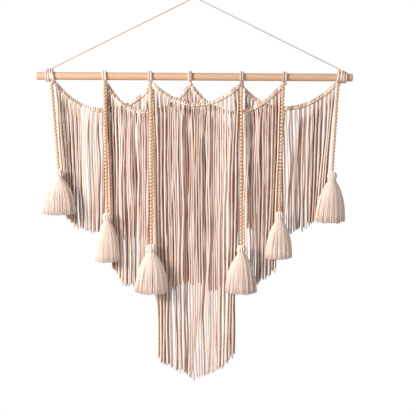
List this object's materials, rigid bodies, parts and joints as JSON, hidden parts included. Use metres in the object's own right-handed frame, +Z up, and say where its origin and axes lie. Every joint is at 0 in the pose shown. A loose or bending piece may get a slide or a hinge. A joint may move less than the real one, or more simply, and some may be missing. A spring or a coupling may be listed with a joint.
{
  "type": "macrame wall hanging on a wooden rod",
  "caption": "Macrame wall hanging: layered bows of knotted cotton cord with long fringe, strings of wooden beads and yarn tassels on a wooden rod with its hanging cord.",
  "frame": {"origin": "the nail, where the underside of the hanging cord's bend rests on it", "axes": "+Z up, +Y towards the wall, -Y towards the room, +X along the rod to the viewer's right"},
  "size_m": [0.9144, 0.0768, 1.1016],
  "materials": {
    "dowel": "sanded, unvarnished",
    "beads": "turned and lightly waxed",
    "cord": "natural twisted cotton",
    "yarn": "soft matt cotton"
  },
  "bodies": {
    "root": {"rod": "dowel", "hanger_cord": "cord", "rod_tie_1": "cord", "rod_tie_2": "cord", "rod_tie_3": "cord", "rod_tie_4": "cord", "rod_tie_5": "cord", "rod_tie_6": "cord", "rod_tie_7": "cord", "swag_outer_left": "cord", "swag_inner_left": "cord", "swag_centre": "cord", "swag_inner_right": "cord", "swag_outer_right": "cord", "bead_string_1": "beads", "bead_string_2": "beads", "bead_string_3": "beads", "bead_string_4": "beads", "bead_string_5": "beads", "bead_string_6": "beads", "tassel_1": "yarn", "tassel_2": "yarn", "tassel_3": "yarn", "tassel_4": "yarn", "tassel_5": "yarn", "tassel_6": "yarn"}
  },
  "joints": []
}
